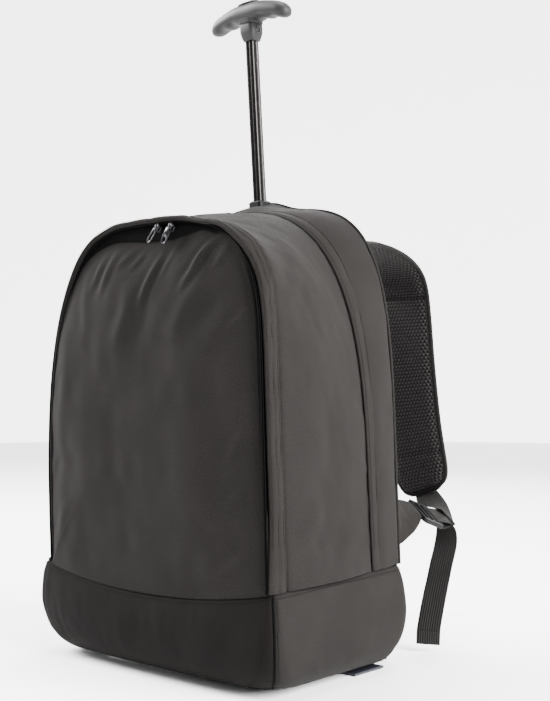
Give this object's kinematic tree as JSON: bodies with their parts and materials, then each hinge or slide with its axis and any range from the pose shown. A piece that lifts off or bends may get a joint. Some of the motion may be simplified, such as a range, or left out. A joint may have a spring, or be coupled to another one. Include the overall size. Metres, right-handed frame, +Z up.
{
  "type": "wheeled backpack",
  "caption": "Soft backpack with an arched front pocket, padded shoulder straps, a moulded base with rear wheels and a sliding pull handle with a wing grip.",
  "frame": {"origin": "on the floor under the centre of the bounding box", "axes": "+Z up, +Y towards the back panel and straps, +X to the wearer-facing viewer's right seen from the front"},
  "size_m": [0.344, 0.3396, 0.6953],
  "materials": {
    "weave": "coated plain weave, matt",
    "base_weave": "smooth tight weave, matt",
    "mesh": "padded spacer mesh",
    "webbing": "ribbed webbing",
    "zip_tape": "coil zip tape",
    "black_nickel": "dark nickel plating",
    "pole": "satin dark anodised",
    "grip_grey": "moulded, fine matt",
    "black_plastic": "moulded, satin",
    "rubber": "matt rubber",
    "steel": "zinc plated"
  },
  "bodies": {
    "pack": {"front_panel": "weave", "front_flap": "weave", "front_gusset": "weave", "rear_gusset": "weave", "front_zip": "zip_tape", "main_zip": "zip_tape", "back_panel": "mesh", "front_base_panel": "base_weave", "base_side_left": "weave", "base_side_right": "weave", "base_tray": "black_plastic", "wheel_axle_left": "steel", "wheel_axle_right": "steel", "foot_left": "rubber", "foot_right": "rubber", "handle_sleeve": "pole", "handle_cover": "black_plastic", "front_slider_left": "black_nickel", "front_slider_right": "black_nickel", "main_slider": "black_nickel", "strap_pad_left": "mesh", "strap_pad_right": "mesh", "strap_wing_left": "weave", "strap_wing_right": "weave", "strap_webbing_left": "webbing", "strap_webbing_right": "webbing", "strap_tail_left": "webbing", "strap_tail_right": "webbing", "buckle_left": "black_plastic", "buckle_right": "black_plastic"},
    "handle": {"handle_pole": "pole", "grip_collar": "grip_grey", "collar_screw": "black_nickel", "grip": "grip_grey"},
    "button": {"release_button": "black_plastic"},
    "left_wheel": {"wheel_tyre_left": "rubber", "wheel_hub_left": "black_plastic"},
    "right_wheel": {"wheel_tyre_right": "rubber", "wheel_hub_right": "black_plastic"},
    "left_front_pull": {"front_puller_left": "black_nickel"},
    "right_front_pull": {"front_puller_right": "black_nickel"},
    "main_pull": {"main_puller": "black_nickel"}
  },
  "joints": [
    {"name": "handle_slide", "type": "slide", "parent": "pack", "child": "handle", "axis": [0, -0.0753, 0.9972], "range_m": [-0.166, 0.18]},
    {"name": "button_press", "type": "slide", "parent": "handle", "child": "button", "axis": [0, 0.0753, -0.9972], "range_m": [0, 0.0025], "stiffness_N_per_m": 400, "springref_m": -0.001},
    {"name": "left_wheel_spin", "type": "hinge", "parent": "pack", "child": "left_wheel", "pos_m": [-0.124, 0.0355, 0.028], "axis": [1, 0, 0], "continuous": true},
    {"name": "right_wheel_spin", "type": "hinge", "parent": "pack", "child": "right_wheel", "pos_m": [0.124, 0.0355, 0.028], "axis": [1, 0, 0], "continuous": true},
    {"name": "left_front_pull_swing", "type": "hinge", "parent": "pack", "child": "left_front_pull", "pos_m": [0.03901, -0.16753, 0.43111], "axis": [-0.7193, 0, 0.6947], "range_deg": [0, 120]},
    {"name": "right_front_pull_swing", "type": "hinge", "parent": "pack", "child": "right_front_pull", "pos_m": [0.05727, -0.16737, 0.43018], "axis": [-0.809, 0, 0.5878], "range_deg": [0, 120]},
    {"name": "main_pull_swing", "type": "hinge", "parent": "pack", "child": "main_pull", "pos_m": [-0.00498, -0.02633, 0.46501], "axis": [0, 1, 0], "range_deg": [0, 150]}
  ]
}
